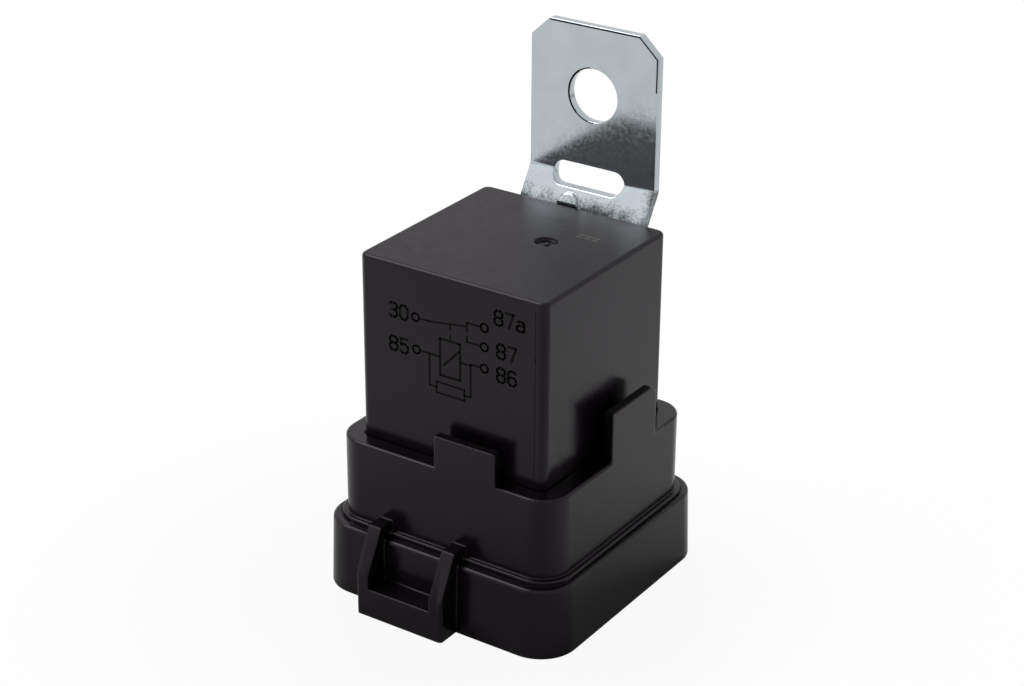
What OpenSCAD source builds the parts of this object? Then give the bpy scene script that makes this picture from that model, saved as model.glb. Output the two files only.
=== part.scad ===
// Weatherproof five-blade changeover relay for vehicles: a plug-in relay unit
// seated in a skirted housing, with a folded steel fixing bracket on its back.
// Millimetres. Origin at the centre of the socket mouth, +Z up, front faces -Y.

/* [Cover] */
// Width of the relay cover, left to right
cover_w = 28; // [28:0.5:30]
// Depth of the relay cover, front to back
cover_d = 28; // [28:0.5:30]
// Height of the cover above the collar
cover_h = 25.4; // [23:0.1:30]
// Wall of the cover
cover_wall = 1.2; // [1:0.1:1.5]
// Radius of the cover's upright corners
cover_corner_r = 1.1; // [1:0.1:2.5]
// Radius of the cover's top edge
cover_edge_r = 0.5; // [0.3:0.1:0.8]
// Radius of the moulding gate recess on top
gate_r = 1.5; // [1:0.1:2]
// Depth of the gate recess
gate_depth = 0.4; // [0.2:0.1:0.6]
// Gate recess to the right of the centre
gate_x = 3.4; // [0:0.2:6]
// Gate recess behind the centre
gate_y = 2.2; // [0:0.2:5]

/* [Collar] */
// Height of the collar's top above the socket mouth
collar_h = 21.4; // [20:0.1:24]
// Collar wall outside the cover, left and right
collar_wall_x = 2.75; // [2.3:0.05:3]
// Collar wall outside the cover, front and back
collar_wall_y = 2.25; // [2:0.05:3]
// Corner radius of the collar
collar_r = 4; // [3:0.1:4.5]
// Rounding of the collar's rim
rim_r = 0.35; // [0.2:0.05:0.5]
// Gap between the cover and its pocket
cover_fit = 0.15; // [0.1:0.05:0.3]
// Depth of the cover's seat below the collar's top
seat_depth = 5.5; // [4:0.5:6]

/* [Guide tabs] */
// Thickness of the guide tabs
tab_t = 1.25; // [1:0.05:1.5]
// Length of the front and back tabs
tab_front_len = 9.2; // [7:0.2:10]
// Height of the front and back tabs above the collar
tab_front_h = 4.5; // [3:0.1:7]
// Start of the front tab, from the middle
tab_front_start = -0.9; // [-3:0.1:1]
// Length of the side tabs
tab_side_len = 10.5; // [8:0.1:11]
// Height of the side tabs above the collar
tab_side_h = 6.9; // [4:0.1:9]
// Start of the side tab, from the middle
tab_side_start = -2.7; // [-4:0.1:0]
// Corner radius at the far end of a side tab
tab_corner_r = 1.4; // [0.8:0.1:2]

/* [Skirt] */
// Height of the skirt's ledge above the socket mouth
ledge_h = 9.7; // [9:0.1:11]
// Step from the collar's sides out to the skirt's sides
skirt_step_x = 1.4; // [1.3:0.05:2]
// Step from the collar's front and back out to the skirt's
skirt_step_y = 1.95; // [1.4:0.05:2.2]
// Corner radius of the skirt
skirt_r = 4.9; // [4.5:0.1:6]
// Widening of each side of the skirt down to the socket mouth
skirt_draft = 0.3; // [0.1:0.05:0.4]
// Wall of the skirt and of the hollow collar
skirt_wall = 2; // [1.8:0.1:2.2]
// Width of the raised bead beside the collar
bead_w = 0.7; // [0.5:0.05:0.8]
// Height of the bead over the ledge
bead_h = 0.55; // [0.3:0.05:0.8]
// Width and depth of the groove between bead and ledge
groove_w = 0.2; // [0.15:0.05:0.3]
// Rounding of the skirt's upper edge
ledge_r = 0.4; // [0.2:0.05:0.45]
// Thickness of the shelf that carries the relay unit
shelf_t = 2; // [1.5:0.1:2.5]
// Gap between the blades and the shelf's opening
shelf_gap = 0.25; // [0.15:0.05:0.4]
// Lead-in chamfer at the socket mouth
mouth_chamfer = 0.5; // [0.3:0.1:0.8]

/* [Latch pocket] */
// Outer width of the latch pocket
latch_w = 13.4; // [11:0.1:15]
// Centre of the pocket, from the middle
latch_x = -2.8; // [-5:0.1:5]
// Reach of the pocket in front of the skirt
latch_out = 3.6; // [3:0.05:4.5]
// Side wall of the pocket
latch_wall = 1.9; // [1.3:0.1:2]
// Height of the side walls
latch_h = 11.6; // [11:0.1:14]
// Height where the side walls begin to slope back
latch_knee = 5.8; // [4.5:0.1:7]
// Setback of the side walls at their top
latch_setback = 3; // [2:0.1:3.2]
// Height of the pocket's floor
latch_floor = 4; // [3:0.1:4.2]
// Rounding of the pocket's upright outer corners
latch_r = 0.5; // [0.4:0.1:1.2]

/* [Bracket] */
// Thickness of the bracket sheet
plate_t = 1.2; // [0.8:0.1:1.4]
// Width of the bracket
plate_w = 19.2; // [18:0.1:21]
// Centre of the bracket, from the middle
plate_x = 0.9; // [-2:0.1:2]
// Height of the bracket above the cover
plate_rise = 24; // [20:0.1:28]
// Set-back of the upper plate from the lower leg
plate_offset = 2.55; // [2:0.05:3]
// Angle of the two folds
fold_angle = 32; // [25:1:38]
// Inside radius of the folds
fold_r = 0.8; // [0.5:0.1:1.2]
// Lower fold below the cover's top
fold_drop = 1.1; // [0.8:0.1:3]
// Length of the leg down the cover's back
leg_len = 15; // [12:0.5:17]
// Width of the corner chamfers
plate_cham_x = 2.8; // [1:0.1:4]
// Height of the corner chamfers
plate_cham_z = 2.6; // [1:0.1:4]
// Radius of the fixing hole
fix_r = 3.6; // [2.5:0.1:4]
// Fixing hole above the cover
fix_rise = 14.7; // [12:0.1:17]
// Length of the slot across the fold
slot_len = 10.7; // [9:0.1:13]
// Width of the slot
slot_w = 3.1; // [2.5:0.1:3.2]
// Slot centre above the cover
slot_rise = 3.4; // [3.4:0.1:4]
// Slot centre to the left of the bracket's centre
slot_x = 0.4; // [-1:0.1:1]
// Radius of the pressed boss on the slanted part
boss_r = 1.6; // [1.2:0.1:1.7]
// Height of the pressed boss
boss_h = 0.45; // [0.3:0.05:0.6]
// Bevel round the pressed boss
boss_edge = 0.25; // [0.1:0.05:0.3]
// Boss to the left of the bracket's centre
boss_x = 2.2; // [2:0.1:5]
// Radius of the dent behind the boss
dent_r = 0.9; // [0.6:0.1:1.1]
// Radius of the stakes that hold the leg
stake_r = 1.4; // [1.2:0.1:1.6]
// Distance from the bracket's centre to each stake
stake_x = 6; // [4:0.1:7]
// Stakes below the lower fold
stake_drop = 9; // [6:0.5:10]
// Radius of the stake heads
stake_head_r = 2.2; // [2:0.1:2.6]

/* [Blades] */
// Width of a contact blade
blade_w = 6.3; // [6:0.1:6.4]
// Thickness of a contact blade
blade_t = 0.8; // [0.7:0.05:0.9]
// Length of the blades below the relay unit
blade_len = 11.4; // [10:0.1:12]
// Distance from the middle to the two coil blades
coil_blade_x = 8.4; // [8.3:0.1:9]
// Row of the coil blades and the centre blade
blade_row_y = 0.6; // [0:0.1:1]
// Common blade behind the middle
blade_30_y = 8.7; // [8.4:0.1:9]
// Make blade in front of the middle
blade_87_y = 7.9; // [7.7:0.1:8.2]
// Bevel at the blade tips
blade_tip = 0.9; // [0.5:0.1:1.2]

/* [Base] */
// Thickness of the base plate
base_t = 2.1; // [2:0.1:2.6]
// Thickness of the sealing compound under the base plate
potting_t = 0.9; // [0.6:0.1:1.2]
// Gap round pieces that are pushed or set into another
set_fit = 0.05; // [0.03:0.01:0.08]

/* [Magnet] */
// Width of the yoke
yoke_w = 14; // [12:0.5:14.5]
// Thickness of the yoke
yoke_t = 1.5; // [1.2:0.1:1.7]
// Space behind the yoke for its spring and rivets
yoke_back = 1.3; // [1.2:0.05:1.5]
// Radius of the bobbin's flanges
flange_r = 8; // [7.6:0.1:8.1]
// Thickness of the bobbin's flanges
flange_t = 1; // [0.8:0.1:1.2]
// Wall of the bobbin's tube
tube_wall = 0.7; // [0.6:0.1:1]
// Winding below the flange's edge
winding_in = 0.2; // [0.1:0.05:0.5]
// Radius of the iron core
core_r = 3.5; // [3:0.1:4]
// Radius of the core's spigot in the yoke
spigot_r = 2.5; // [2:0.1:2.8]
// Radius of the pole face
pole_r = 5; // [4.5:0.1:5.5]
// Thickness of the pole face
pole_t = 1; // [0.8:0.1:1.4]
// Rivets above the yoke's foot
yoke_rivet_up = 12; // [10:0.5:14]
// Radius of the coil wire
wire_r = 0.2; // [0.1:0.05:0.3]
// Coil tags above the winding's foot
tag_up = 3.8; // [3:0.1:5]
// Width of the coil tags
tag_w = 1.5; // [1.2:0.1:1.8]
// Coil wire's end above the winding's foot
wire_up = 1.3; // [1:0.1:1.6]

/* [Contacts] */
// Thickness of the armature
armature_t = 1.4; // [1.2:0.1:1.6]
// Swing of the armature, degrees
armature_swing = 2.6; // [2:0.1:3]
// Thickness of the contact and return springs
spring_t = 0.3; // [0.2:0.05:0.35]
// Width of the contact spring
spring_w = 5; // [4:0.1:6]
// Radius of the contact buttons
contact_r = 1.6; // [1.3:0.1:1.8]
// Height of the contact buttons
contact_t = 0.6; // [0.5:0.05:0.7]
// Contact centre in front of the make blade
contact_out = 2.1; // [2:0.1:2.2]
// Armature's front edge behind the contacts
armature_clear = 2.8; // [2.5:0.1:3.2]
// Armature's rivets in front of its hinge
armature_rivet_in = 2; // [1.8:0.1:2.4]
// Gap between closed pieces of the magnet and contacts
touch_gap = 0.04; // [0.03:0.01:0.06]
// Room between the break contact's strap and the cover
head_room = 0.4; // [0.3:0.05:0.6]
// Radius of the rivet shanks
rivet_r = 0.75; // [0.6:0.05:0.9]
// Radius of the rivet heads
rivet_head_r = 1.3; // [1.1:0.1:1.4]
// Height of the rivet heads
rivet_head_t = 0.45; // [0.3:0.05:0.5]
// Half distance between a pair of rivets
rivet_x = 3.2; // [3:0.1:4]

/* [Resistor] */
// Radius of the suppression resistor
resistor_r = 1.2; // [1:0.1:1.4]
// Length of the suppression resistor
resistor_len = 6.3; // [5.5:0.1:6.8]
// Radius of the resistor's leads
lead_r = 0.25; // [0.2:0.05:0.3]
// Resistor's leads below the tops of the coil tags
lead_down = 0.7; // [0.5:0.1:1]
// Gap between the resistor and the coil blade
resistor_gap = 0.4; // [0.2:0.05:0.5]

/* [Hidden] */
$fn = 48;
past = 1; // how far a cutter reaches past what it cuts

// cover and its pocket
cover_top = collar_h + cover_h;
seat_z = collar_h - seat_depth;
cover_in_w = cover_w - 2 * cover_wall;
cover_in_d = cover_d - 2 * cover_wall;
cover_in_top = cover_top - cover_wall;
cover_in_r = max(cover_corner_r - cover_wall, 0.3);
collar_w = cover_w + 2 * (cover_fit + collar_wall_x);
collar_d = cover_d + 2 * (cover_fit + collar_wall_y);
skirt_w = collar_w + 2 * skirt_step_x;
skirt_d = collar_d + 2 * skirt_step_y;
shelf_z = seat_z - shelf_t;
skirt_roof = ledge_h - skirt_wall;
shelf_open = blade_w + 2 * (blade_30_y + shelf_gap);

// bracket, seen from the side
leg_y = cover_d / 2 + set_fit;
fold_z = cover_top - fold_drop;
fold_out_r = fold_r + plate_t;
slant_len = (plate_offset - (fold_r + fold_out_r) * (1 - cos(fold_angle))) / sin(fold_angle);
fold_top_z = fold_z + (fold_r + fold_out_r) * sin(fold_angle) + slant_len * cos(fold_angle);
plate_y = leg_y + plate_offset;
plate_top = cover_top + plate_rise;
stake_z = fold_z - stake_drop;

// base and magnet, from the seat upwards
base_z = seat_z + potting_t;
base_top = base_z + base_t;
blade_tip_z = seat_z - blade_len;
yoke_z = base_top + set_fit;
armature_z = cover_in_top - head_room - blade_t - contact_t - touch_gap - contact_t - spring_t - armature_t;
yoke_top = armature_z - touch_gap;
spring_z = armature_z + armature_t;
yoke_y = cover_in_d / 2 - yoke_back - yoke_t;
coil_y = yoke_y - set_fit - flange_r;
hinge_y = yoke_y;
pole_top = armature_z - (hinge_y - coil_y + pole_r) * sin(armature_swing) - touch_gap;
bobbin_z = yoke_z + yoke_t + set_fit;
bobbin_top = pole_top - pole_t - set_fit;
winding_r = flange_r - winding_in;
tube_r = core_r + set_fit + tube_wall;
winding_z = bobbin_z + flange_t;
winding_top = bobbin_top - flange_t;

// contacts
contact_y = -blade_87_y - contact_out;
make_top = spring_z - contact_t
    - (hinge_y - contact_y + contact_r) * sin(armature_swing) - touch_gap;
make_tab_z = make_top - contact_t - blade_t;
break_z = spring_z + spring_t + contact_t + touch_gap;
break_tab_z = break_z + contact_t;
strap_gap = 0.5; // between the strap and the coil blade
strap_x = coil_blade_x - blade_t / 2 - strap_gap - blade_t;
strap_w = 2 * contact_r;
run_up = 0.3; // centre blade's run above the base plate's underside
run_z = base_z + run_up;
run_y = blade_row_y - 2.5 * blade_t;
run_x = strap_x + blade_t - 0.75 * strap_w;
armature_front = contact_y + contact_r + armature_clear;
armature_rivet_y = hinge_y - armature_rivet_in;
yoke_rivet_z = yoke_z + yoke_rivet_up;

// coil tags and leads
tag_y = blade_row_y - blade_w / 2 + set_fit;
tag_top = winding_z + tag_up;
wire_z = winding_z + wire_up;
lead_z = tag_top - lead_down;
resistor_x = -coil_blade_x - blade_t / 2 - lead_r - resistor_r - resistor_gap;
resistor_y = tag_y + resistor_gap;
lead_pass_y = (coil_y - flange_r - blade_87_y + blade_t / 2) / 2;

function arc(c, r, from, to, n = 6) =
    [for (i = [0:n]) let (a = from + (to - from) * i / n) [c[0] + r * cos(a), c[1] + r * sin(a)]];

module rounded_rect(w, d, r) {
    square([w - 2 * r, d], center = true);
    square([w, d - 2 * r], center = true);
    for (sx = [-1, 1], sy = [-1, 1])
        translate([sx * (w / 2 - r), sy * (d / 2 - r)]) circle(r);
}

module rounded_block(w, d, r, z, h) {
    translate([0, 0, z]) linear_extrude(h) rounded_rect(w, d, r);
}

// Sweeps a profile, drawn outwards from the corner centres, round a rectangle
module swept_round(w, d, r) {
    straight_x = w - 2 * r;
    straight_y = d - 2 * r;
    for (turn = [0:3])
        translate([(turn == 0 || turn == 3 ? 1 : -1) * straight_x / 2,
            (turn < 2 ? 1 : -1) * straight_y / 2, 0])
            rotate([0, 0, 90 * turn]) rotate_extrude(angle = 90) children();
    for (side = [0, 180])
        rotate([0, 0, side]) translate([straight_x / 2, 0, 0])
            rotate([90, 0, 0]) linear_extrude(straight_y, center = true) children();
    for (side = [90, 270])
        rotate([0, 0, side]) translate([straight_y / 2, 0, 0])
            rotate([90, 0, 0]) linear_extrude(straight_x, center = true) children();
}

// Half profile of a tier with a rounded upper edge
module tier_profile(reach, low, high, edge) {
    translate([0, low]) square([reach - edge, high - low]);
    translate([0, low]) square([reach, high - edge - low]);
    translate([reach - edge, high - edge]) circle(edge);
}

// Half profile of a tier that widens towards its foot
module drafted_profile(reach, low, high, edge, draft) {
    polygon([[0, low], [reach + draft, low], [reach, high - edge], [reach - edge, high - edge],
        [reach - edge, high], [0, high]]);
    translate([reach - edge, high - edge]) circle(edge);
}

module box(low, high, grow = 0) {
    translate([for (i = [0:2]) low[i] - grow])
        cube([for (i = [0:2]) high[i] - low[i] + 2 * grow]);
}

// Extrudes a profile drawn in Y and Z along X, centred on x
module across(x, w) {
    translate([x - w / 2, 0, 0]) rotate([90, 0, 90]) linear_extrude(w) children();
}

module cover() {
    color([0.17, 0.16, 0.17]) difference() {
        union() {
            swept_round(cover_w, cover_d, cover_corner_r)
                tier_profile(cover_corner_r, seat_z, cover_top, cover_edge_r);
            box([-cover_w / 2 + cover_corner_r, -cover_d / 2 + cover_corner_r, seat_z],
                [cover_w / 2 - cover_corner_r, cover_d / 2 - cover_corner_r, cover_top]);
            for (side = [-1, 1])
                translate([plate_x + side * stake_x, 0, stake_z]) rotate([-90, 0, 0]) stake();
        }
        rounded_block(cover_in_w, cover_in_d, cover_in_r, seat_z - past, cover_in_top - seat_z + past);
        translate([gate_x, gate_y, cover_top - gate_depth]) difference() {
            cylinder(h = gate_depth + past, r = gate_r);
            translate([0, 0, -past]) cylinder(h = gate_depth / 2 + past, r = gate_r / 4);
        }
    }
}

// Plastic stake, formed over the bracket's leg
module stake() {
    head_z = leg_y + plate_t + set_fit;
    translate([0, 0, cover_d / 2 - cover_wall / 2]) cylinder(h = head_z - cover_d / 2 + cover_wall, r = stake_r);
    translate([0, 0, head_z]) cylinder(h = cover_wall / 2, r1 = stake_head_r, r2 = stake_head_r * 0.8);
}

module guide_tab(start, len, h, corner) {
    low = collar_h - seat_depth / 2;
    rotate([90, 0, 0]) translate([0, 0, -tab_t]) linear_extrude(tab_t) {
        translate([start, low]) square([len - corner, collar_h + h - low]);
        translate([start, low]) square([len, collar_h + h - corner - low]);
        translate([start + len - corner, collar_h + h - corner]) circle(corner);
    }
}

module latch_pocket() {
    front = -skirt_d / 2 - latch_out;
    root = -collar_d / 2 + skirt_wall / 2;
    intersection() {
        union() {
            for (side = [-1, 1])
                across(latch_x + side * (latch_w - latch_wall) / 2, latch_wall)
                    polygon([[root, 0], [front, 0], [front, latch_knee],
                        [front + latch_setback, latch_h], [root, latch_h]]);
            box([latch_x - latch_w / 2, front, 0], [latch_x + latch_w / 2, root, latch_floor]);
        }
        translate([latch_x, 0, 0]) rounded_block(latch_w, -2 * front, latch_r, 0, latch_h);
    }
}

module skirt_housing() {
    color([0.16, 0.15, 0.16]) difference() {
        union() {
            swept_round(skirt_w, skirt_d, skirt_r)
                drafted_profile(skirt_r, 0, ledge_h, ledge_r, skirt_draft);
            swept_round(collar_w, collar_d, collar_r) {
                tier_profile(collar_r + bead_w, 0, ledge_h + bead_h, groove_w);
                tier_profile(collar_r, 0, collar_h, rim_r);
            }
            box([-collar_w / 2 + collar_r, -collar_d / 2 + collar_r, 0],
                [collar_w / 2 - collar_r, collar_d / 2 - collar_r, collar_h]);
            box([-skirt_w / 2 + skirt_r, -skirt_d / 2 + skirt_r, 0],
                [skirt_w / 2 - skirt_r, skirt_d / 2 - skirt_r, ledge_h]);
            for (side = [0, 180]) rotate([0, 0, side]) {
                translate([0, -collar_d / 2, 0])
                    guide_tab(tab_front_start, tab_front_len, tab_front_h, rim_r);
                rotate([0, 0, 90]) translate([0, -collar_w / 2, 0])
                    guide_tab(tab_side_start, tab_side_len, tab_side_h, tab_corner_r);
            }
            latch_pocket();
        }
        swept_round(collar_w, collar_d, collar_r)
            translate([collar_r + bead_w, ledge_h - groove_w]) square([groove_w, groove_w + bead_h]);
        rounded_block(cover_w + 2 * cover_fit, cover_d + 2 * cover_fit, cover_corner_r + cover_fit,
            seat_z, collar_h);
        rounded_block(shelf_open, shelf_open, cover_corner_r, shelf_z - past, shelf_t + 2 * past);
        rounded_block(collar_w - 2 * skirt_wall, collar_d - 2 * skirt_wall, collar_r - skirt_wall / 2,
            skirt_roof - past, shelf_z - skirt_roof + past);
        rounded_block(skirt_w - 2 * skirt_wall, skirt_d - 2 * skirt_wall, skirt_r - skirt_wall,
            -past, skirt_roof + past);
        swept_round(skirt_w - 2 * skirt_wall, skirt_d - 2 * skirt_wall, skirt_r - skirt_wall)
            polygon([[0, -past], [skirt_r - skirt_wall + mouth_chamfer, -past],
                [skirt_r - skirt_wall + mouth_chamfer, 0], [skirt_r - skirt_wall, mouth_chamfer],
                [0, mouth_chamfer]]);
    }
}

module bracket() {
    lower = [leg_y + fold_out_r, fold_z];
    upper = [plate_y - fold_r, fold_top_z];
    color([0.72, 0.74, 0.75]) difference() {
        union() {
            across(plate_x, plate_w) polygon(concat(
                [[leg_y, fold_z - leg_len]],
                arc(lower, fold_out_r, 180, 180 - fold_angle),
                arc(upper, fold_r, -fold_angle, 0),
                [[plate_y, plate_top], [plate_y + plate_t, plate_top]],
                arc(upper, fold_out_r, 0, -fold_angle),
                arc(lower, fold_r, 180 - fold_angle, 180),
                [[leg_y + plate_t, fold_z - leg_len]]));
            intersection() {
                slanted() translate([0, 0, -boss_h]) {
                    cylinder(h = boss_edge, r1 = boss_r - boss_edge, r2 = boss_r);
                    translate([0, 0, boss_edge]) cylinder(h = boss_h - boss_edge + plate_t / 2, r = boss_r);
                }
                box([-plate_w, leg_y, fold_z - leg_len], [plate_w, plate_y, plate_top]);
            }
        }
        translate([plate_x, plate_y - past, cover_top + fix_rise]) rotate([-90, 0, 0])
            cylinder(h = plate_t + 2 * past, r = fix_r);
        translate([plate_x - slot_x, leg_y - past, cover_top + slot_rise]) rotate([-90, 0, 0])
            linear_extrude(plate_offset + plate_t + 2 * past) {
                square([slot_len - slot_w, slot_w], center = true);
                for (side = [-1, 1]) translate([side * (slot_len - slot_w) / 2, 0]) circle(slot_w / 2);
            }
        for (side = [-1, 1]) {
            translate([plate_x + side * stake_x, leg_y - past, stake_z]) rotate([-90, 0, 0])
                cylinder(h = plate_t + 2 * past, r = stake_r + 2 * set_fit);
            translate([plate_x, plate_y - past, plate_top]) rotate([-90, 0, 0])
                linear_extrude(plate_t + 2 * past)
                    polygon([[side * (plate_w / 2 - plate_cham_x), -past],
                        [side * (plate_w / 2 - plate_cham_x), 0],
                        [side * plate_w / 2, plate_cham_z],
                        [side * (plate_w / 2 + past), plate_cham_z],
                        [side * (plate_w / 2 + past), -past]]);
        }
        slanted() translate([0, 0, plate_t - boss_h]) cylinder(h = boss_h + past, r = dent_r);
    }
}

// Puts children at the foot of the slanted part, with +Z pointing into the sheet
module slanted() {
    translate([plate_x - boss_x, leg_y + fold_out_r * (1 - cos(fold_angle)),
        fold_z + fold_out_r * sin(fold_angle)])
        rotate([-90 - fold_angle, 0, 0]) children();
}

// Blade along X or Y with bevelled tips, its foot at the given height
module blade(x, y, along_x, top, grow = 0) {
    half = blade_w / 2 + grow;
    tip = blade_tip;
    translate([x, y, 0]) rotate([90, 0, along_x ? 0 : 90])
        linear_extrude(blade_t + 2 * grow, center = true)
            polygon([[-half, top], [-half, blade_tip_z + tip], [-half + tip, blade_tip_z],
                [half - tip, blade_tip_z], [half, blade_tip_z + tip], [half, top]]);
}

module terminal_30(grow = 0) {
    color([0.78, 0.72, 0.6]) {
        blade(0, blade_30_y, false, base_top - blade_t / 2, grow);
        box([-blade_w / 2, blade_30_y - blade_w / 2, base_top - blade_t],
            [blade_w / 2, yoke_y + yoke_t, base_top], grow);
    }
}

module coil_terminal(side, grow = 0) {
    inner = coil_blade_x - blade_t / 2;
    color([0.78, 0.72, 0.6]) {
        blade(side * coil_blade_x, blade_row_y, false, base_top - blade_t / 2, grow);
        box([side > 0 ? inner : -inner - blade_t, tag_y, base_z],
            [side > 0 ? inner + blade_t : -inner, tag_y + tag_w, tag_top], grow);
    }
}

module terminal_85() {
    coil_terminal(1);
}

module terminal_86() {
    coil_terminal(-1);
}

module terminal_87(grow = 0) {
    y = -blade_87_y;
    color([0.78, 0.72, 0.6]) difference() {
        union() {
            blade(0, y, true, make_tab_z + blade_t, grow);
            box([-contact_r - blade_t / 2, contact_y - contact_r, make_tab_z],
                [contact_r + blade_t / 2, y + blade_t / 2, make_tab_z + blade_t], grow);
        }
        translate([0, contact_y, make_tab_z - past]) cylinder(h = blade_t + 2 * past, r = contact_r / 2 + set_fit);
    }
}

// Centre blade, its run through the base plate and its strap to the top
module terminal_87a(grow = 0) {
    front = contact_y - contact_r;
    color([0.78, 0.72, 0.6]) difference() {
        union() {
            blade(0, blade_row_y, true, run_z + blade_t, grow);
            box([-blade_w / 2, run_y, run_z],
                [strap_x + blade_t, blade_row_y + blade_t / 2, run_z + blade_t], grow);
            box([run_x, front, run_z],
                [strap_x + blade_t, blade_row_y + blade_t / 2, run_z + blade_t], grow);
            box([strap_x, front, run_z], [strap_x + blade_t, front + strap_w, break_tab_z + blade_t], grow);
            box([-contact_r - blade_t / 2, front, break_tab_z],
                [strap_x + blade_t, front + strap_w, break_tab_z + blade_t], grow);
        }
        translate([0, contact_y, break_tab_z - past]) cylinder(h = blade_t + 2 * past, r = contact_r / 2 + set_fit);
    }
}

module terminal_slots() {
    terminal_30(set_fit);
    for (side = [-1, 1]) coil_terminal(side, set_fit);
    terminal_87(set_fit);
    terminal_87a(set_fit);
    // the centre blade's run is laid in from above
    box([-blade_w / 2, run_y, run_z],
        [strap_x + blade_t, blade_row_y + blade_t / 2, base_top + past], set_fit);
    box([run_x, contact_y - contact_r, run_z],
        [strap_x + blade_t, blade_row_y + blade_t / 2, base_top + past], set_fit);
}

module base_plate() {
    color([0.3, 0.28, 0.26]) difference() {
        rounded_block(cover_in_w - 2 * set_fit, cover_in_d - 2 * set_fit, cover_in_r, base_z, base_t);
        terminal_slots();
    }
}

module potting_seal() {
    color([0.1, 0.1, 0.11]) difference() {
        rounded_block(cover_in_w - 2 * set_fit, cover_in_d - 2 * set_fit, cover_in_r,
            seat_z, potting_t - set_fit);
        terminal_slots();
    }
}

module yoke() {
    front = coil_y - core_r - 1.5 * yoke_t;
    color([0.6, 0.61, 0.63]) difference() {
        union() {
            box([-yoke_w / 2, front, yoke_z], [yoke_w / 2, yoke_y + yoke_t, yoke_z + yoke_t]);
            box([-yoke_w / 2, yoke_y, yoke_z], [yoke_w / 2, yoke_y + yoke_t, yoke_top]);
        }
        translate([0, coil_y, yoke_z - past]) cylinder(h = yoke_t + 2 * past, r = spigot_r + set_fit);
        for (side = [-1, 1]) translate([side * rivet_x, yoke_y - past, yoke_rivet_z]) rotate([-90, 0, 0])
            cylinder(h = yoke_t + 2 * past, r = rivet_r + set_fit);
    }
}

module core() {
    color([0.66, 0.67, 0.69]) translate([0, coil_y, 0]) {
        translate([0, 0, yoke_z]) cylinder(h = pole_top - yoke_z, r = spigot_r);
        translate([0, 0, yoke_z + yoke_t + set_fit]) cylinder(h = pole_top - yoke_z - yoke_t - set_fit, r = core_r);
        translate([0, 0, pole_top - pole_t]) cylinder(h = pole_t, r = pole_r);
    }
}

module bobbin() {
    color([0.85, 0.83, 0.76]) translate([0, coil_y, 0]) difference() {
        union() {
            translate([0, 0, bobbin_z]) cylinder(h = bobbin_top - bobbin_z, r = tube_r);
            translate([0, 0, bobbin_z]) cylinder(h = flange_t, r = flange_r);
            translate([0, 0, bobbin_top - flange_t]) cylinder(h = flange_t, r = flange_r);
        }
        translate([0, 0, bobbin_z - past]) cylinder(h = bobbin_top - bobbin_z + 2 * past, r = core_r + set_fit);
    }
}

module coil_winding() {
    color([0.62, 0.33, 0.16]) translate([0, coil_y, winding_z + set_fit]) difference() {
        cylinder(h = winding_top - winding_z - 2 * set_fit, r = winding_r);
        translate([0, 0, -past]) cylinder(h = winding_top - winding_z + 2 * past, r = tube_r + set_fit);
    }
}

// Wire from the winding to its tag, with the turns wrapped round the tag
module coil_lead(side) {
    y = tag_y + tag_w / 2;
    tag_in = coil_blade_x - blade_t / 2;
    start = sqrt(pow(winding_r, 2) - pow(coil_y - y - wire_r, 2)) + set_fit;
    color([0.7, 0.38, 0.2]) mirror([side > 0 ? 0 : 1, 0, 0]) difference() {
        union() {
            translate([start, y, wire_z]) rotate([0, 90, 0]) cylinder(h = tag_in - start, r = wire_r);
            box([tag_in, tag_y, wire_z - 3 * wire_r],
                [tag_in + blade_t, tag_y + tag_w, wire_z + 3 * wire_r], 1.5 * wire_r);
        }
        box([tag_in, tag_y, wire_z - tag_w], [tag_in + blade_t, tag_y + tag_w, wire_z + tag_w], set_fit);
    }
}

module coil_lead_85() {
    coil_lead(1);
}

module coil_lead_86() {
    coil_lead(-1);
}

module armature() {
    tail = hinge_y + yoke_t - 4 * set_fit;
    color([0.62, 0.63, 0.65]) difference() {
        translate([0, 0, armature_z]) linear_extrude(armature_t)
            polygon([[-yoke_w / 2, tail], [yoke_w / 2, tail], [yoke_w / 2, coil_y - pole_r / 2],
                [spring_w, armature_front], [-spring_w, armature_front], [-yoke_w / 2, coil_y - pole_r / 2]]);
        armature_rivet_holes();
    }
}

module armature_rivet_holes() {
    for (side = [-1, 1]) translate([side * rivet_x, armature_rivet_y, armature_z - past])
        cylinder(h = armature_t + 2 * spring_t + 2 * past, r = rivet_r + set_fit);
}

module contact_spring() {
    back = armature_rivet_y + rivet_head_r;
    color([0.75, 0.5, 0.28]) difference() {
        translate([0, 0, spring_z]) linear_extrude(spring_t) {
            translate([-rivet_x - rivet_head_r, armature_rivet_y - rivet_head_r])
                square([2 * (rivet_x + rivet_head_r), back - armature_rivet_y + rivet_head_r]);
            translate([-spring_w / 2, contact_y]) square([spring_w, back - contact_y]);
            translate([0, contact_y]) circle(spring_w / 2);
        }
        armature_rivet_holes();
        translate([0, contact_y, spring_z - past]) cylinder(h = spring_t + 2 * past, r = contact_r / 2 + set_fit);
    }
}

module moving_contact() {
    color([0.82, 0.83, 0.83]) translate([0, contact_y, 0]) {
        translate([0, 0, spring_z - contact_t]) cylinder(h = contact_t, r = contact_r);
        translate([0, 0, spring_z - contact_t]) cylinder(h = 2 * contact_t + spring_t, r = contact_r / 2);
        translate([0, 0, spring_z + spring_t]) cylinder(h = contact_t, r = contact_r);
    }
}

module armature_rivet(side) {
    low = armature_z - rivet_head_t;
    top = spring_z + 2 * spring_t;
    color([0.7, 0.71, 0.72]) translate([side * rivet_x, armature_rivet_y, 0]) {
        translate([0, 0, low]) cylinder(h = rivet_head_t, r = rivet_head_r);
        translate([0, 0, low]) cylinder(h = top + rivet_head_t - low, r = rivet_r);
        translate([0, 0, top + touch_gap]) cylinder(h = rivet_head_t, r = rivet_head_r);
    }
}

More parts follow.
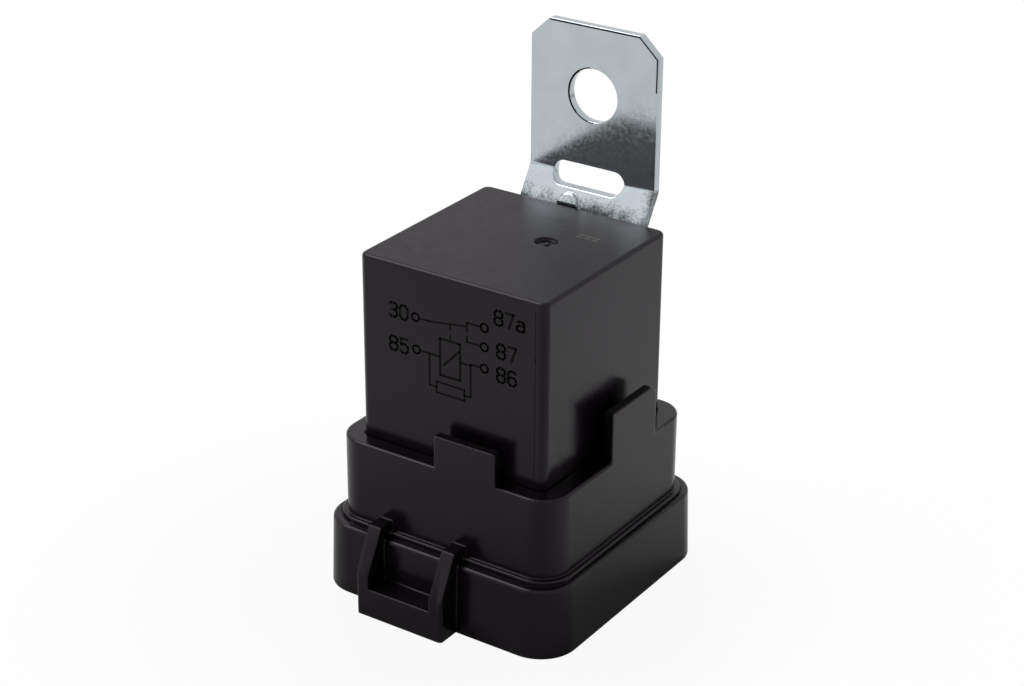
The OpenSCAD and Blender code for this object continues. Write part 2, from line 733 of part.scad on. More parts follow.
module armature_rivet_left() {
    armature_rivet(-1);
}

module armature_rivet_right() {
    armature_rivet(1);
}

module fixed_contact_no() {
    color([0.82, 0.83, 0.83]) translate([0, contact_y, 0]) {
        translate([0, 0, make_top - contact_t]) cylinder(h = contact_t, r = contact_r);
        translate([0, 0, make_tab_z]) cylinder(h = contact_t + blade_t, r = contact_r / 2);
    }
}

module fixed_contact_nc() {
    color([0.82, 0.83, 0.83]) translate([0, contact_y, 0]) {
        translate([0, 0, break_z]) cylinder(h = contact_t, r = contact_r);
        translate([0, 0, break_z]) cylinder(h = contact_t + blade_t, r = contact_r / 2);
    }
}

// Leaf bent over the yoke's top: riveted to the yoke's back and the armature
module return_spring() {
    back = yoke_y + yoke_t + touch_gap;
    low = yoke_rivet_z - 2 * rivet_head_r;
    level = spring_z + spring_t + touch_gap / 2;
    bend = spring_t;
    color([0.75, 0.5, 0.28]) difference() {
        across(0, 2 * (rivet_x + rivet_head_r)) polygon(concat(
            [[back, low], [back + spring_t, low]],
            arc([back - bend, level - bend], bend + spring_t, 0, 90),
            [[armature_rivet_y - rivet_head_r, level + spring_t], [armature_rivet_y - rivet_head_r, level]],
            arc([back - bend, level - bend], bend, 90, 0)));
        for (side = [-1, 1]) {
            translate([side * rivet_x, back - past, yoke_rivet_z]) rotate([-90, 0, 0])
                cylinder(h = spring_t + 2 * past, r = rivet_r + set_fit);
            translate([side * rivet_x, armature_rivet_y, level - past])
                cylinder(h = spring_t + 2 * past, r = rivet_r + 2 * set_fit);
        }
    }
}

module yoke_rivet(side) {
    head_y = yoke_y + yoke_t + 2 * touch_gap + spring_t;
    color([0.7, 0.71, 0.72]) translate([side * rivet_x, 0, yoke_rivet_z]) rotate([-90, 0, 0]) {
        translate([0, 0, yoke_y]) cylinder(h = head_y - yoke_y + rivet_head_t, r = rivet_r);
        translate([0, 0, head_y]) cylinder(h = rivet_head_t, r = rivet_head_r);
    }
}

module yoke_rivet_left() {
    yoke_rivet(-1);
}

module yoke_rivet_right() {
    yoke_rivet(1);
}

// Round wire through a list of points, with ball elbows
module wire(points, r) {
    for (i = [0:len(points) - 2]) {
        step = points[i + 1] - points[i];
        turn = step[0] != 0 ? [0, 90 * sign(step[0]), 0] : [-90 * sign(step[1]), 0, 0];
        translate(points[i]) rotate(turn) cylinder(h = norm(step), r = r);
        if (i > 0) translate(points[i]) sphere(r);
    }
}

module resistor_body() {
    color([0.55, 0.45, 0.35]) translate([resistor_x, resistor_y, lead_z]) rotate([-90, 0, 0])
        cylinder(h = resistor_len, r = resistor_r);
}

module resistor_lead_85() {
    color([0.8, 0.8, 0.8]) wire([[resistor_x, resistor_y - set_fit, lead_z], [resistor_x, lead_pass_y, lead_z],
        [coil_blade_x, lead_pass_y, lead_z], [coil_blade_x, tag_y - set_fit, lead_z]], lead_r);
}

module resistor_lead_86() {
    back = resistor_y + resistor_len + set_fit;
    color([0.8, 0.8, 0.8]) wire([[resistor_x, back, lead_z], [resistor_x, back + 3 * lead_r, lead_z],
        [-coil_blade_x, back + 3 * lead_r, lead_z], [-coil_blade_x, tag_y + tag_w + set_fit, lead_z]], lead_r);
}

cover();
skirt_housing();
bracket();
base_plate();
potting_seal();
terminal_30();
terminal_85();
terminal_86();
terminal_87();
terminal_87a();
yoke();
core();
bobbin();
coil_winding();
coil_lead_85();
coil_lead_86();
armature();
contact_spring();
moving_contact();
armature_rivet_left();
armature_rivet_right();
fixed_contact_no();
fixed_contact_nc();
return_spring();
yoke_rivet_left();
yoke_rivet_right();
resistor_body();
resistor_lead_85();
resistor_lead_86();
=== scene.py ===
"""Looks of a weatherproof changeover relay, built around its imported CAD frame. Metres."""

import math

import bmesh
import bpy
from mathutils import Matrix, Quaternion, Vector


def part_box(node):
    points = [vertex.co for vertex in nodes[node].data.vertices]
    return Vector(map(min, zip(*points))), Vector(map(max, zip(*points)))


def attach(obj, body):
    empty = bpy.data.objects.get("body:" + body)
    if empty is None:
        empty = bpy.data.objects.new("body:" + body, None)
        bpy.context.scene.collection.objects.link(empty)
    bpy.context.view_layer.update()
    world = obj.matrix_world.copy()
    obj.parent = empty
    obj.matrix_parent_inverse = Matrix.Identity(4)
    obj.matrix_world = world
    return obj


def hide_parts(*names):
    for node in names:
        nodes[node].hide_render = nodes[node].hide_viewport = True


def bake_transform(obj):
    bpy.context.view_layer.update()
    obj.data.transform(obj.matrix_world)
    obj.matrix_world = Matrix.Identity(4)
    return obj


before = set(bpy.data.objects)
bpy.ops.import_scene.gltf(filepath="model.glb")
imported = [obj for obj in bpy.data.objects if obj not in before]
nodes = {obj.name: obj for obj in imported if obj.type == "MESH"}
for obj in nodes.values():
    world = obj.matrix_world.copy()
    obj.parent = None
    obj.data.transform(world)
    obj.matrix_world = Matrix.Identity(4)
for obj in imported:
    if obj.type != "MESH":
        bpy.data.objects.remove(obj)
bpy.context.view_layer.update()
scene = bpy.context.scene
MM = 0.001
WHITE = (1.0, 1.0, 1.0, 1.0)

# The record's slot that each node names; the plain materials give their names up to the made ones
SLOT_OF = {name: obj.material_slots[0].material.name for name, obj in nodes.items()}
for plain in list(bpy.data.materials):
    plain.name = "plain_" + plain.name


# ---------------------------------------------------------------- materials

def new_material(name):
    """A new material, with its node tree and its shader."""
    mat = bpy.data.materials.new(name)
    mat.use_nodes = True
    tree = mat.node_tree
    return mat, tree, tree.nodes["Principled BSDF"]


def place(tree):
    """Texture position in the object's own metres."""
    return tree.nodes.new("ShaderNodeTexCoord").outputs["Object"]


def along(tree, at, axis):
    """One coordinate of a texture position."""
    split = tree.nodes.new("ShaderNodeSeparateXYZ")
    tree.links.new(at, split.inputs[0])
    return split.outputs[axis]


def stretched(tree, at, scale):
    """A texture position that changes more slowly along the axes with a small scale."""
    mapping = tree.nodes.new("ShaderNodeMapping")
    mapping.inputs["Scale"].default_value = scale
    tree.links.new(at, mapping.inputs["Vector"])
    return mapping.outputs["Vector"]


def noise(tree, at, size_mm, detail=3.0, rough=0.5):
    """Noise about 0.5, in patches of about size_mm."""
    node = tree.nodes.new("ShaderNodeTexNoise")
    node.inputs["Scale"].default_value = 1 / (size_mm * MM)
    node.inputs["Detail"].default_value = detail
    node.inputs["Roughness"].default_value = rough
    tree.links.new(at, node.inputs["Vector"])
    return node.outputs["Fac"]


def two_tone(tree, value, dark, light, at_dark=0.3, at_light=0.7):
    """Colour that goes from dark to light as value goes from at_dark to at_light."""
    node = tree.nodes.new("ShaderNodeValToRGB")
    for element, at, colour in zip(node.color_ramp.elements, (at_dark, at_light), (dark, light)):
        element.position = at
        element.color = (*colour, 1.0)
    tree.links.new(value, node.inputs["Fac"])
    return node.outputs["Color"]


def spread(tree, value, low, high, at_low=0.3, at_high=0.7):
    """A number that goes from low to high as value goes from at_low to at_high."""
    node = tree.nodes.new("ShaderNodeMapRange")
    node.inputs["From Min"].default_value = at_low
    node.inputs["From Max"].default_value = at_high
    node.inputs["To Min"].default_value = low
    node.inputs["To Max"].default_value = high
    tree.links.new(value, node.inputs["Value"])
    return node.outputs["Result"]


def combined(tree, operation, first, second):
    """What a math operation makes of two values."""
    node = tree.nodes.new("ShaderNodeMath")
    node.operation = operation
    tree.links.new(first, node.inputs[0])
    tree.links.new(second, node.inputs[1])
    return node.outputs[0]


def painted(tree, share, colour, paint):
    """Colour that goes over to paint as share goes from 0 to 1."""
    node = tree.nodes.new("ShaderNodeMix")
    node.data_type = "RGBA"
    # Sockets of this node by number, because its names occur once for each data type
    tree.links.new(share, node.inputs[0])
    tree.links.new(colour, node.inputs[6])
    node.inputs[7].default_value = (*paint, 1.0)
    return node.outputs[2]


def bump(tree, shader, height, strength, depth_mm, under=None):
    """Gives the shader a relief, over the relief called under; returns the new normal."""
    node = tree.nodes.new("ShaderNodeBump")
    node.inputs["Strength"].default_value = strength
    node.inputs["Distance"].default_value = depth_mm * MM
    tree.links.new(height, node.inputs["Height"])
    if under is not None:
        tree.links.new(under, node.inputs["Normal"])
    tree.links.new(node.outputs["Normal"], shader.inputs["Normal"])
    return node.outputs["Normal"]


def soft_edges(tree, radius_mm):
    """Normals that run over an edge as over a small radius."""
    node = tree.nodes.new("ShaderNodeBevel")
    node.samples = 6
    node.inputs["Radius"].default_value = radius_mm * MM
    return node.outputs["Normal"]


def moulded(
    name, dark, light, rough, grain_mm=0.13, gloss=0.2, edge_mm=0.15, tint=WHITE, satin_above_mm=None
):
    """Moulded plastic: a fine spark-eroded grain, cloudy colour and faint flow streaks."""
    cloud_mm, streak_mm, wave_mm = 6.0, 1.4, 2.6
    grain_deep_mm, wave_deep_mm = 0.006, 0.02
    satin_rough, satin_fade_mm = 0.2, 0.1
    mat, tree, shader = new_material(name)
    at = place(tree)
    colour = two_tone(tree, noise(tree, at, cloud_mm, 4.0), dark, light)
    tree.links.new(colour, shader.inputs["Base Color"])
    streaks = noise(tree, stretched(tree, at, (1.0, 1.0, 0.2)), streak_mm, 4.0)
    roughness = spread(tree, streaks, rough - 0.02, rough + 0.04)
    if satin_above_mm:
        level = satin_above_mm * MM
        satin = spread(tree, along(tree, at, "Z"), 0.0, satin_rough, level, level + satin_fade_mm * MM)
        roughness = combined(tree, "ADD", roughness, satin)
    tree.links.new(roughness, shader.inputs["Roughness"])
    shader.inputs["Specular IOR Level"].default_value = gloss
    shader.inputs["Specular Tint"].default_value = tint
    grain = noise(tree, at, grain_mm, 2.0)
    grained = bump(tree, shader, grain, 0.25, grain_deep_mm, soft_edges(tree, edge_mm))
    bump(tree, shader, noise(tree, at, wave_mm, 2.0), 0.1, wave_deep_mm, grained)
    return mat


# In metres: the heights between which the bracket's painted shade, its dark reflection of the cover, sets in
# above its leg, fades up its slanted part, and ends under its upright plate; and the places across between
# which it sets in again towards the right edge
FOLD_BEGINS = (0.0448, 0.0462)
SHADE_FADES = (0.0466, 0.0486)
FOLD_ENDS = (0.0502, 0.0508)
SHADED_RIGHT = (0.0084, 0.0103)


def painted_fold_shade(tree, at):
    """Painted shade on the bracket, mottled and speckled: low on its slanted part, where that part reflects
    the dark cover, and down that part's right edge.
    """
    speckle_mm, cloud_mm = 0.3, 2.2
    across, up = along(tree, at, "X"), along(tree, at, "Z")
    past_leg = spread(tree, up, 0.0, 1.0, *FOLD_BEGINS)
    under_plate = spread(tree, up, 1.0, 0.0, *FOLD_ENDS)
    low = spread(tree, up, 1.0, 0.0, *SHADE_FADES)
    right = combined(tree, "MULTIPLY", spread(tree, across, 0.0, 0.9, *SHADED_RIGHT), under_plate)
    speckle = spread(tree, noise(tree, at, speckle_mm, 6.0, 0.75), -0.5, 0.5)
    cloud = spread(tree, noise(tree, at, cloud_mm, 3.0), -0.5, 0.25)
    mottled = combined(tree, "ADD", combined(tree, "MAXIMUM", low, right), speckle)
    shade_amount = spread(tree, combined(tree, "ADD", mottled, cloud), 0.0, 0.92, 0.1, 1.15)
    return combined(tree, "MULTIPLY", shade_amount, combined(tree, "MULTIPLY", past_leg, under_plate))


# The colour of the bracket's painted shade
SHADE_COLOUR = (0.012, 0.014, 0.013)


def metal(name, dark, light, rough, spangle_mm, relief_mm, strength, brushed=None, patch_mm=0.9, painted_shade=None):
    """Plated or bare metal: mottled tone, uneven gloss and a fine skin."""
    mottle_mm = 3.2
    mat, tree, shader = new_material(name)
    at = place(tree)
    if brushed:
        at = stretched(tree, at, brushed)
    colour = two_tone(tree, noise(tree, at, mottle_mm, 5.0), dark, light, 0.32, 0.68)
    if painted_shade:
        # Painted shade, where one is given, darkens the colour
        colour = painted(tree, painted_shade(tree, at), colour, SHADE_COLOUR)
    tree.links.new(colour, shader.inputs["Base Color"])
    shader.inputs["Metallic"].default_value = 1.0
    roughness = spread(tree, noise(tree, at, patch_mm, 5.0), rough - 0.05, rough + 0.08)
    tree.links.new(roughness, shader.inputs["Roughness"])
    bump(tree, shader, noise(tree, at, spangle_mm, 3.0), strength, relief_mm)
    return mat


def enamelled_wire(name):
    """Copper wire under clear enamel, in fine turns round the coil."""
    turns = (0.03, 0.03, 1.0)
    mat = metal(name, (0.36, 0.105, 0.034), (0.6, 0.22, 0.085), 0.3, 0.16, 0.05, 0.9, brushed=turns)
    shader = mat.node_tree.nodes["Principled BSDF"]
    shader.inputs["Coat Weight"].default_value = 0.6
    shader.inputs["Coat Roughness"].default_value = 0.15
    return mat


def thin_line(name, colour, rough):
    """What a drawn line is made of: dull, slightly uneven along its length."""
    uneven_mm, grain_mm, grain_deep_mm = 0.4, 0.08, 0.01
    mat, tree, shader = new_material(name)
    at = place(tree)
    faint = tuple(c * 0.7 for c in colour)
    tone = two_tone(tree, noise(tree, at, uneven_mm), faint, colour)
    tree.links.new(tone, shader.inputs["Base Color"])
    shader.inputs["Roughness"].default_value = rough
    shader.inputs["Specular IOR Level"].default_value = 0.1
    bump(tree, shader, noise(tree, at, grain_mm), 0.4, grain_deep_mm)
    return mat


PURPLISH = (1.0, 0.88, 1.0, 1.0)
# Just under the cover's top face, which is duller than its sides
SATIN_FROM_MM = 46.65
LENGTHWISE = (1.0, 0.1, 1.0)

# After a dark and a light colour: moulded's roughness, grain_mm and gloss, or metal's roughness,
# spangle_mm, relief_mm and strength
MATERIALS = {mat.name: mat for mat in (
    moulded(
        "cover_plastic", (0.0036, 0.0020, 0.0037), (0.0044, 0.0026, 0.0046), 0.2,
        gloss=0.225, edge_mm=0.24, tint=PURPLISH, satin_above_mm=SATIN_FROM_MM,
    ),
    moulded(
        "housing_plastic", (0.0032, 0.0019, 0.0032), (0.0040, 0.0025, 0.0040), 0.2,
        gloss=0.225, edge_mm=0.36, tint=PURPLISH,
    ),
    # The bracket's steel carries painted shade low on its slanted part
    metal(
        "bracket_steel", (0.425, 0.475, 0.50), (0.47, 0.515, 0.535), 0.12, 0.22, 0.006, 0.4,
        patch_mm=0.4, painted_shade=painted_fold_shade,
    ),
    moulded("base_plastic", (0.055, 0.05, 0.046), (0.075, 0.068, 0.06), 0.5),
    moulded("potting", (0.008, 0.008, 0.009), (0.014, 0.013, 0.014), 0.22, 0.6, 0.4),
    metal("tinned_brass", (0.62, 0.57, 0.47), (0.74, 0.69, 0.58), 0.3, 0.5, 0.006, 0.3),
    metal("soft_iron", (0.42, 0.42, 0.43), (0.56, 0.56, 0.57), 0.38, 0.3, 0.012, 0.3),
    moulded("bobbin_plastic", (0.62, 0.58, 0.48), (0.7, 0.66, 0.56), 0.45, 0.2, 0.4),
    enamelled_wire("copper_wire"),
    metal("spring_bronze", (0.5, 0.31, 0.15), (0.62, 0.41, 0.21), 0.28, 0.2, 0.006, 0.3, LENGTHWISE),
    metal("contact_silver", (0.76, 0.75, 0.72), (0.86, 0.85, 0.82), 0.24, 0.25, 0.006, 0.3),
    metal("rivet_steel", (0.5, 0.5, 0.51), (0.62, 0.62, 0.63), 0.32, 0.3, 0.008, 0.3),
    moulded("resistor_coat", (0.16, 0.3, 0.32), (0.2, 0.36, 0.38), 0.3, 0.3, 0.5),
    metal("tinned_wire", (0.6, 0.6, 0.6), (0.7, 0.7, 0.7), 0.3, 0.3, 0.006, 0.3),
)}
BURNT = thin_line("burnt_line", (0.0022, 0.002, 0.0022), 0.75)
FAINT = thin_line("faint_mark", (0.19, 0.17, 0.14), 0.6)
# The colour of the bracket's painted burr shadow
BURR_SHADE = thin_line("burr_shadow", (0.008, 0.009, 0.008), 0.6)


# ---------------------------------------------------- finish of the CAD nodes

def smooth_group():
    """Geometry nodes that shade every face smooth, so the bevels can carry the edges."""
    group = bpy.data.node_groups.new("shade_smooth", "GeometryNodeTree")
    group.interface.new_socket("Geometry", in_out="INPUT", socket_type="NodeSocketGeometry")
    group.interface.new_socket("Geometry", in_out="OUTPUT", socket_type="NodeSocketGeometry")
    start = group.nodes.new("NodeGroupInput")
    end = group.nodes.new("NodeGroupOutput")
    smooth = group.nodes.new("GeometryNodeSetShadeSmooth")
    group.links.new(start.outputs[0], smooth.inputs[0])
    group.links.new(smooth.outputs[0], end.inputs[0])
    return group


SMOOTH = smooth_group()
ROUNDING_MM = {"skirt_housing": 0.14, "cover": 0.14, "bracket": 0.12}
SMALL_ROUNDING_MM = 0.06
WELD_MM = 0.002
# Faces that differ by less are one flat face, and edges that turn by more are rounded
FLAT_DEGREES = 0.6
SHARP_DEGREES = 32


def dress(name, obj):
    """Gives a CAD node its material and breaks its sharp edges, as a mould or a press leaves them."""
    obj.material_slots[0].material = MATERIALS[SLOT_OF[name]]
    weld = obj.modifiers.new("weld", "WELD")
    weld.merge_threshold = WELD_MM * MM
    flat = obj.modifiers.new("flat_faces", "DECIMATE")
    flat.decimate_type = "DISSOLVE"
    flat.angle_limit = math.radians(FLAT_DEGREES)
    smooth = obj.modifiers.new("smooth", "NODES")
    smooth.node_group = SMOOTH
    round_off = obj.modifiers.new("rounding", "BEVEL")
    round_off.width = ROUNDING_MM.get(name, SMALL_ROUNDING_MM) * MM
    round_off.segments = 2
    round_off.limit_method = "ANGLE"
    round_off.angle_limit = math.radians(SHARP_DEGREES)
    round_off.miter_outer = "MITER_ARC"
    round_off.harden_normals = True
    round_off.use_clamp_overlap = name == "skirt_housing"
    normals = obj.modifiers.new("normals", "WEIGHTED_NORMAL")
    normals.keep_sharp = True


for node_name, node_obj in nodes.items():
    dress(node_name, node_obj)


def bending_spring():
    """The return spring again, as a leaf of its own in the same place, with the rigid spring hidden."""
    rigid = nodes["return_spring"]
    leaf = rigid.copy()
    leaf.data = rigid.data.copy()
    leaf.name = leaf.data.name = "return_leaf"
    leaf.parent = None
    scene.collection.objects.link(leaf)
    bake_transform(leaf)
    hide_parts("return_spring")


bending_spring()


# ------------------------------------------------------------- marks by strokes

def mesh_object(name, bm, mat):
    """A new object of this mesh and material."""
    mesh = bpy.data.meshes.new(name)
    bm.normal_update()
    bm.to_mesh(mesh)
    bm.free()
    obj = bpy.data.objects.new(name, mesh)
    scene.collection.objects.link(obj)
    mesh.materials.append(mat)
    return obj


def stroke(bm, on_face, start, end, width, thick):
    """A flat line with round ends; on_face(u, v, height) puts its points on a face of the relay."""
    start, end = Vector(start), Vector(end)
    run = (end - start).normalized()
    turn = math.atan2(run.y, run.x)
    steps = 5
    outline = []
    for centre, begin in ((end, -math.pi / 2), (start, math.pi / 2)):
        for i in range(steps + 1):
            a = turn + begin + math.pi * i / steps
            outline.append((centre.x + math.cos(a) * width / 2, centre.y + math.sin(a) * width / 2))
    low = [bm.verts.new(on_face(u, v, 0.0)) for u, v in outline]
    high = [bm.verts.new(on_face(u, v, thick)) for u, v in outline]
    bm.faces.new(high)
    bm.faces.new(list(reversed(low)))
    for i in range(len(low)):
        j = (i + 1) % len(low)
        bm.faces.new((low[i], low[j], high[j], high[i]))


def polyline(bm, on_face, points, width, thick):
    """A stroke from each point to the next."""
    for start, end in zip(points, points[1:]):
        stroke(bm, on_face, start, end, width, thick)


def arc(centre, radius, angles):
    """The points of a circle at these angles, in radians."""
    return [(centre[0] + radius * math.cos(a), centre[1] + radius * math.sin(a)) for a in angles]


def ring(centre, radius, count=14):
    """A closed circle of count sides."""
    return arc(centre, radius, [2 * math.pi * i / count for i in range(count + 1)])


# Plain stroke digits on a field 0.6 wide and 1 high
GLYPHS = {
    "0": [[(0.15, 0), (0.45, 0), (0.6, 0.2), (0.6, 0.8), (0.45, 1), (0.15, 1), (0, 0.8), (0, 0.2),
           (0.15, 0)]],
    "3": [[(0, 0.88), (0.15, 1), (0.45, 1), (0.6, 0.85), (0.6, 0.65), (0.45, 0.52), (0.2, 0.52)],
          [(0.45, 0.52), (0.6, 0.38), (0.6, 0.15), (0.45, 0), (0.15, 0), (0, 0.12)]],
    "5": [[(0.57, 1), (0.05, 1), (0.02, 0.55), (0.2, 0.62), (0.42, 0.62), (0.6, 0.47), (0.6, 0.15), (0.45, 0),
           (0.15, 0), (0, 0.12)]],
    "6": [[(0.56, 0.88), (0.44, 1), (0.16, 1), (0, 0.8), (0, 0.18), (0.15, 0), (0.45, 0), (0.6, 0.15),
           (0.6, 0.42), (0.45, 0.57), (0.15, 0.57), (0, 0.42)]],
    "7": [[(0, 1), (0.6, 1), (0.24, 0)]],
    "8": [[(0.15, 0.52), (0, 0.66), (0, 0.85), (0.15, 1), (0.45, 1), (0.6, 0.85), (0.6, 0.66), (0.45, 0.52),
           (0.15, 0.52), (0, 0.38), (0, 0.15), (0.15, 0), (0.45, 0), (0.6, 0.15), (0.6, 0.38), (0.45, 0.52)]],
    "a": [[(0.04, 0.6), (0.15, 0.68), (0.42, 0.68), (0.55, 0.56), (0.55, 0)],
          [(0.55, 0.4), (0.15, 0.4), (0, 0.3), (0, 0.1), (0.13, 0), (0.4, 0), (0.55, 0.12)]],
}
GLYPH_STEP = 0.86


def write(bm, on_face, text, left, low, height, width, thick):
    """Text in strokes, from its lower left corner."""
    for i, glyph in enumerate(text):
        for line in GLYPHS[glyph]:
            points = [(left + (x + i * GLYPH_STEP) * height, low + y * height) for x, y in line]
            polyline(bm, on_face, points, width, thick)


cover_low, cover_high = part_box("cover")
cover_front = cover_low[1]
cover_top = cover_high[2]
# The marks on the front are drawn in millimetres, as on a cover whose top is this high
DRAWN_TOP = 47.0
MARK_DROP = DRAWN_TOP * MM - cover_top
MARK_T = 0.02
LINE_W = 0.26
BOLD_W = 0.34


def on_front(u, v, h):
    """A point of the cover's front face, from millimetres across, up and out of the face."""
    return (u * MM, cover_front - h * MM, v * MM - MARK_DROP)


def on_top(u, v, h):
    """A point of the cover's top face, from millimetres to the right, to the back and up."""
    return (u * MM, v * MM, cover_top + h * MM)


def circuit_diagram():
    """A changeover contact, its coil and the resistor beside the coil."""
    bm = bmesh.new()
    terminal_r = 0.55
    terminals = [(-5.3, 40.4), (-5.2, 36.0), (5.1, 41.7), (5.1, 39.1), (5.1, 36.2)]
    # The wires to the coil turn down to the resistor here
    left, right = -3.2, 3.05
    coil_left, coil_right, coil_low, coil_high, coil_wire = -1.56, 1.46, 33.5, 38.5, 36.0
    box_left, box_right, box_low, box_high, box_wire = -2.15, 2.1, 30.9, 32.4, 31.65
    moving_contact = [(-4.75, 40.4), (left, 40.4), (2.3, 41.15)]
    break_contact = [(2.5, 40.5), (2.5, 41.7), (4.55, 41.7)]
    make_contact = [(2.5, 39.9), (2.5, 39.1), (4.55, 39.1)]
    resistor = [
        (box_left, box_low), (box_right, box_low), (box_right, box_high), (box_left, box_high),
        (box_left, box_low),
    ]
    thin = [ring(centre, terminal_r) for centre in terminals] + [
        moving_contact,
        break_contact,
        make_contact,
        [(-4.65, coil_wire), (left, coil_wire), (left, box_wire), (box_left, box_wire)],
        [(left, coil_wire), (coil_left, coil_wire)],
        [(4.55, 36.2), (right, 36.2), (right, box_wire), (box_right, box_wire)],
        [(coil_right, coil_wire), (right, coil_wire)],
        resistor,
        # The broken line from the coil to the moving contact
        [(0, 40.6), (0, 40.1)], [(0, 39.3), (0, 38.9)],
    ]
    coil = [
        (coil_left, coil_low), (coil_right, coil_low), (coil_right, coil_high), (coil_left, coil_high),
        (coil_left, coil_low),
    ]
    coil_slash = [(-1.0, 35.0), (1.3, 37.4)]
    for points in thin:
        polyline(bm, on_front, points, LINE_W, MARK_T)
    for points in (coil, coil_slash):
        polyline(bm, on_front, points, BOLD_W, MARK_T)
    return mesh_object("circuit_diagram", bm, BURNT)


def terminal_numbers():
    """The usual terminal numbers of a changeover relay, beside the diagram's terminals."""
    bm = bmesh.new()
    height, width = 1.9, 0.33
    numbers = (
        ("30", -9.3, 39.6), ("85", -9.3, 35.0), ("87a", 6.6, 42.6), ("87", 7.0, 38.2), ("86", 7.0, 35.0),
    )
    for text, left, low in numbers:
        write(bm, on_front, text, left, low, height, width, MARK_T)
    return mesh_object("terminal_numbers", bm, BURNT)


def supply_mark():
    """The plain sign for direct current, faint on the cover's top: a line over three dashes."""
    bm = bmesh.new()
    left, right, line_y, dash_y = 5.6, 8.6, 6.6, 5.9
    dash, step = 0.7, 1.15
    width, thick = 0.2, MARK_T / 2
    stroke(bm, on_top, (left, line_y), (right, line_y), width, thick)
    for i in range(3):
        dash_left = left + step * i
        stroke(bm, on_top, (dash_left, dash_y), (dash_left + dash, dash_y), width, thick)
    return mesh_object("supply_mark", bm, FAINT)


def parting_line():
    """The line that the mould's slide leaves down the front, beside the corner, with a nick in it."""
    bm = bmesh.new()
    x, low, high = 12.55, 21.7, 45.9
    width, thick = 0.07, 0.012
    nick_low, nick_high, nick_lean, nick_width = 38.9, 39.6, 0.02, 0.12
    stroke(bm, on_front, (x, low), (x, high), width, thick)
    stroke(bm, on_front, (x - nick_lean, nick_high), (x + nick_lean, nick_low), nick_width, thick)
    return mesh_object("parting_line", bm, BURNT)


for mark in (circuit_diagram(), terminal_numbers(), supply_mark(), parting_line()):
    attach(mark, "relay_body")

bracket_low, bracket_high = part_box("bracket")
# The sheet's thickness, the size of its cut corners and the height of its hole, as in the CAD
PLATE_T = 1.2
CORNER_W, CORNER_H = 2.8, 2.6
HOLE_Z = 61.5


def on_plate(u, v, h):
    """A point of the bracket's upright front face, from millimetres across, up and out of the face."""
    return (u * MM, bracket_high[1] - (PLATE_T + h) * MM, v * MM)


def burr_shadow():
    """Painted shadow of the burr that the press leaves: a dark line inside the plate's top and right edges,
    and round its hole.
    """
    bm = bmesh.new()
    left, right, top = bracket_low[0] / MM, bracket_high[0] / MM, bracket_high[2] / MM
    inset, width, thick = 0.22, 0.2, 0.008
    corner_inset = inset * 0.4
    down_the_right = 7.0
    edges = [
        (left + CORNER_W + corner_inset, top - inset), (right - CORNER_W - corner_inset, top - inset),
        (right - inset, top - CORNER_H - corner_inset), (right - inset, top - down_the_right),
    ]
    polyline(bm, on_plate, edges, width, thick)
    # Painted shade round the hole's left side, in degrees, and thicker in the middle of that
    hole = ((left + right) / 2, HOLE_Z)
    arc_r, arc_step = 3.73, 9
    for first, last, arc_width in ((100, 276, 0.18), (127, 235, 0.27)):
        angles = [math.radians(a) for a in range(first, last, arc_step)]
        polyline(bm, on_plate, arc(hole, arc_r, angles), arc_width, thick)
    return mesh_object("burr_shadow", bm, BURR_SHADE)


burr_shadow_mark = burr_shadow()
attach(burr_shadow_mark, "relay_body")


# --------------------------------------------------------------- surroundings

def shown_ray(tree, to_camera, to_gloss):
    """How much a ray from the camera or through glass, or from gloss, sees of the plain white."""
    path = tree.nodes.new("ShaderNodeLightPath")
    shares = (("Is Camera Ray", to_camera), ("Is Glossy Ray", to_gloss), ("Is Transmission Ray", to_camera))
    total = None
    for ray, share in shares:
        add = tree.nodes.new("ShaderNodeMath")
        add.operation = "MULTIPLY_ADD"
        tree.links.new(path.outputs[ray], add.inputs[0])
        add.inputs[1].default_value = share
        add.inputs[2].default_value = 0.0
        if total is not None:
            tree.links.new(total, add.inputs[2])
        total = add.outputs[0]
    return total


def plain_white(tree, kind, strength):
    """A white background or emission of this strength."""
    node = tree.nodes.new(kind)
    node.inputs["Color"].default_value = WHITE
    node.inputs["Strength"].default_value = strength
    return node.outputs[0]


def shown_instead(tree, lit, white, share, output):
    """Ends a tree in lit, but for the share of white that a ray sees."""
    mix = tree.nodes.new("ShaderNodeMixShader")
    tree.links.new(share, mix.inputs[0])
    tree.links.new(lit, mix.inputs[1])
    tree.links.new(white, mix.inputs[2])
    out = tree.nodes.new(output)
    tree.links.new(mix.outputs[0], out.inputs["Surface"])


def white_room():
    """A world that lights the relay gently and shows as white."""
    light, seen_in_gloss = 0.3, 0.88
    world = bpy.data.worlds.new("room")
    scene.world = world
    world.use_nodes = True
    tree = world.node_tree
    tree.nodes.clear()
    lit = plain_white(tree, "ShaderNodeBackground", light)
    white = plain_white(tree, "ShaderNodeBackground", 1.0)
    share = shown_ray(tree, to_camera=1.0, to_gloss=seen_in_gloss)
    shown_instead(tree, lit, white, share, "ShaderNodeOutputWorld")


# In metres. The floor's middle, where its painted shade is darkest, is under the relay's left front, and its
# plane a hair under the relay
FLOOR_REACH = 3.0
FLOOR_AT = (-0.009, -0.012, -0.0001)


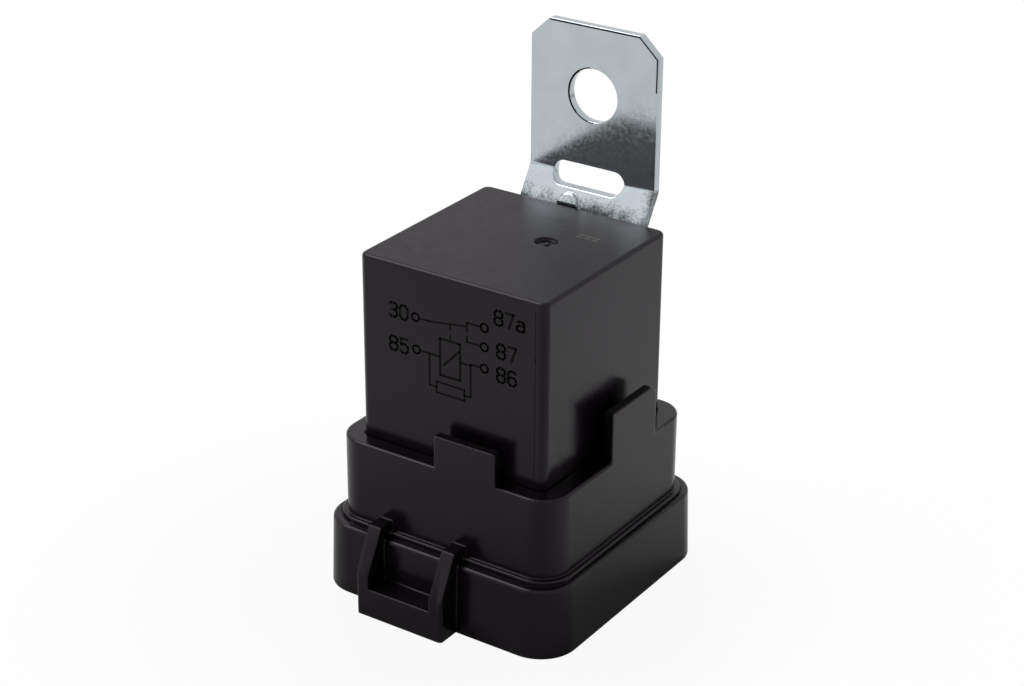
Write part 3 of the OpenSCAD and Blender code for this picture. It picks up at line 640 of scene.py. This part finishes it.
def pale_floor():
    """A floor that keeps the relay's shadow, with painted shade: its colour is darker near its middle than
    farther out, so it sends less light up there.
    """
    dark, pale = 0.45, 0.86
    dark_to, pale_from = 0.02, 0.06
    bm = bmesh.new()
    bmesh.ops.create_grid(bm, x_segments=1, y_segments=1, size=FLOOR_REACH)
    mat = bpy.data.materials.new("pale_floor")
    mat.use_nodes = True
    tree = mat.node_tree
    tree.nodes.clear()
    away = tree.nodes.new("ShaderNodeVectorMath")
    away.operation = "LENGTH"
    tree.links.new(place(tree), away.inputs[0])
    paper = tree.nodes.new("ShaderNodeBsdfDiffuse")
    # Painted shade: the floor's colour goes from dark at its middle to pale farther out
    shade = spread(tree, away.outputs["Value"], dark, pale, dark_to, pale_from)
    tree.links.new(shade, paper.inputs["Color"])
    white = plain_white(tree, "ShaderNodeEmission", 1.0)
    share = shown_ray(tree, to_camera=0.93, to_gloss=0.1)
    shown_instead(tree, paper.outputs[0], white, share, "ShaderNodeOutputMaterial")
    floor = mesh_object("floor", bm, mat)
    floor.location = FLOOR_AT


LAMPS_AIM = Vector((0.0, 0.0, 0.035))


def soft_light(name, at, size, power, seen_in_gloss=True):
    """A square lamp that shines at the middle of the relay."""
    lamp = bpy.data.lights.new(name, "AREA")
    lamp.shape = "SQUARE"
    lamp.size = size
    lamp.energy = power
    obj = bpy.data.objects.new(name, lamp)
    scene.collection.objects.link(obj)
    obj.location = at
    obj.visible_glossy = seen_in_gloss
    obj.rotation_euler = (LAMPS_AIM - Vector(at)).to_track_quat("-Z", "Y").to_euler()


def camera():
    """Looks at the relay from its front right, from above."""
    azimuth, elevation, roll = math.radians(33.97), math.radians(25.47), math.radians(0.336)
    distance = 0.3033
    aim = Vector((-0.0002, -0.0001, 0.0326))
    away = Vector((
        math.cos(elevation) * math.sin(azimuth), -math.cos(elevation) * math.cos(azimuth), math.sin(elevation)
    ))
    data = bpy.data.cameras.new("camera")
    data.sensor_width = 36.0
    data.sensor_fit = "HORIZONTAL"
    data.lens = 82.87
    data.clip_start = 0.01
    obj = bpy.data.objects.new("camera", data)
    scene.collection.objects.link(obj)
    turn = (-away).to_track_quat("-Z", "Y") @ Quaternion((0, 0, 1), roll)
    obj.matrix_world = Matrix.Translation(aim + away * distance) @ turn.to_matrix().to_4x4()
    scene.camera = obj


white_room()
pale_floor()
soft_light("key", (-0.48, 0.70, 0.45), size=0.5, power=8.0, seen_in_gloss=False)
soft_light("fill", (-0.45, -0.64, 0.44), size=0.6, power=0.35)
soft_light("rim", (-0.40, -0.14, 0.70), size=0.46, power=3.5)
camera()
scene.view_settings.view_transform = "Standard"
